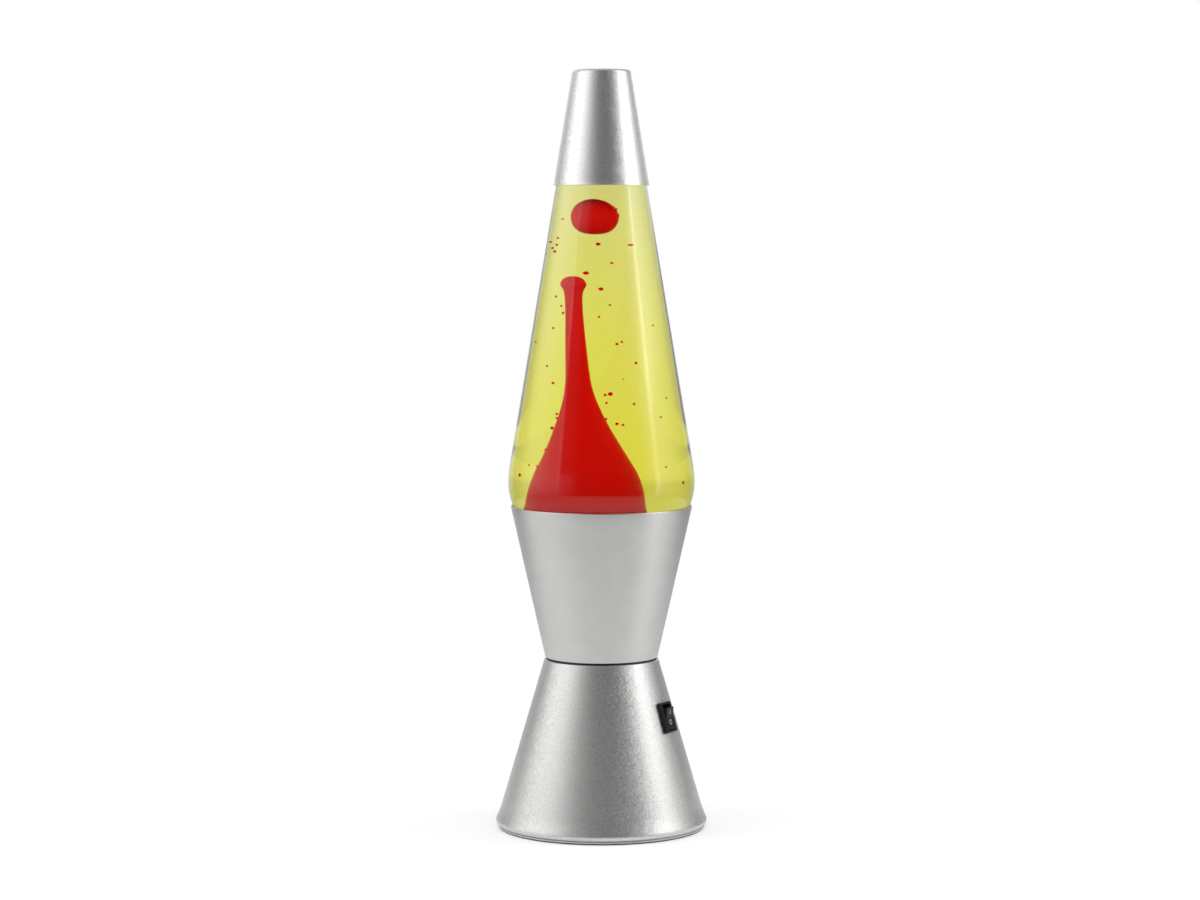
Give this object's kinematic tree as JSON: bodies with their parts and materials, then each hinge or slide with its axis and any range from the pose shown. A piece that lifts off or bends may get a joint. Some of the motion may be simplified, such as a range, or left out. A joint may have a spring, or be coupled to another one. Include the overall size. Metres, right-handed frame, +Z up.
{
  "type": "liquid motion lamp",
  "caption": "Table lamp with a tapered glass bottle of liquid and wax on a waisted two-cone metal base, with a rocker switch, a reflector bulb inside and a lift-off cap.",
  "frame": {"origin": "on the lamp's axis, in the plane it stands on", "axes": "+Z up, +X towards the rocker switch, -X towards the cord bush, millimetre sizes in metres"},
  "size_m": [0.103, 0.103, 0.368],
  "materials": {
    "silver_paint": "silver metallic paint, fine sparkle",
    "satin_aluminium": "satin, brushed around",
    "steel": "satin zinc plate",
    "nickel": "bright plate",
    "brass": "satin",
    "rubber_foot": "matte",
    "white_plastic": "matte",
    "black_plastic": "fine satin",
    "bulb_glass": "clear face over a mirrored reflector",
    "clear_glass": "clear",
    "bottle_glass": "clear and smooth",
    "seal": "matte",
    "wax": "translucent wax",
    "liquid": "clear yellow liquid",
    "lead_black": "satin insulation",
    "lead_white": "satin insulation"
  },
  "bodies": {
    "base": {"base_shell": "silver_paint", "bowl": "satin_aluminium", "waist_collar": "steel", "bottom_cover": "steel", "foot_ring": "rubber_foot", "socket_bracket": "steel", "cover_pillars": "steel", "cover_screws": "steel", "pillar_screws": "steel", "socket_body": "white_plastic", "socket_shell": "brass", "socket_contact": "brass", "socket_nipple": "steel", "nipple_nut": "steel", "terminal_block": "white_plastic", "block_screw": "steel", "terminal_inserts": "brass", "terminal_screws": "steel", "cord_bush": "black_plastic", "switch_housing": "black_plastic", "switch_centre_tab": "brass", "switch_end_tab": "brass", "wire_line": "lead_black", "wire_switched": "lead_black", "wire_neutral": "lead_white"},
    "rocker": {"switch_rocker": "black_plastic", "switch_plunger": "black_plastic", "switch_spring": "steel"},
    "bridge": {"contact_bridge": "brass"},
    "bulb_tip": {"bulb_contact": "brass"},
    "bulb": {"bulb_glass": "bulb_glass", "bulb_cap": "nickel", "bulb_insulator": "black_plastic", "bulb_stem": "clear_glass", "bulb_filament": "steel"},
    "globe": {"glass_bottle": "bottle_glass", "crown_cap": "nickel", "crown_liner": "seal", "wire_ring": "steel", "wax_column": "wax", "wax_beads": "wax", "liquid": "liquid"},
    "cap": {"top_cap": "silver_paint"},
    "blob": {"wax_blob": "wax"}
  },
  "joints": [
    {"name": "rocker_tilt", "type": "hinge", "parent": "base", "child": "rocker", "pos_m": [0.03442, 0, 0.05566], "axis": [0, -1, 0], "range_deg": [0, 21]},
    {"name": "bridge_tilt", "type": "hinge", "parent": "base", "child": "bridge", "pos_m": [0.02885, 0, 0.05403], "axis": [0, -1, 0], "range_deg": [-15.75, 0]},
    {"name": "bulb_rise", "type": "slide", "parent": "base", "child": "bulb_tip", "axis": [0, 0, 1], "range_m": [0, 0.00564]},
    {"name": "bulb_turn", "type": "hinge", "parent": "bulb_tip", "child": "bulb", "pos_m": [0, 0, 0.09], "axis": [0, 0, 1], "range_deg": [0, 720]},
    {"name": "bottle_lift", "type": "slide", "parent": "base", "child": "globe", "axis": [0, 0, 1], "range_m": [0, 0.06]},
    {"name": "cap_lift", "type": "slide", "parent": "globe", "child": "cap", "axis": [0, 0, 1], "range_m": [0, 0.05]},
    {"name": "blob_drift", "type": "slide", "parent": "globe", "child": "blob", "axis": [0, 0, 1], "range_m": [-0.072, 0.006], "deforming": ["liquid"]}
  ],
  "couplings": [
    {"joint": "bridge_tilt", "follows": "rocker_tilt", "ratio": -0.75},
    {"joint": "bulb_rise", "follows": "bulb_turn", "m_per_rad": 0.0004488}
  ]
}
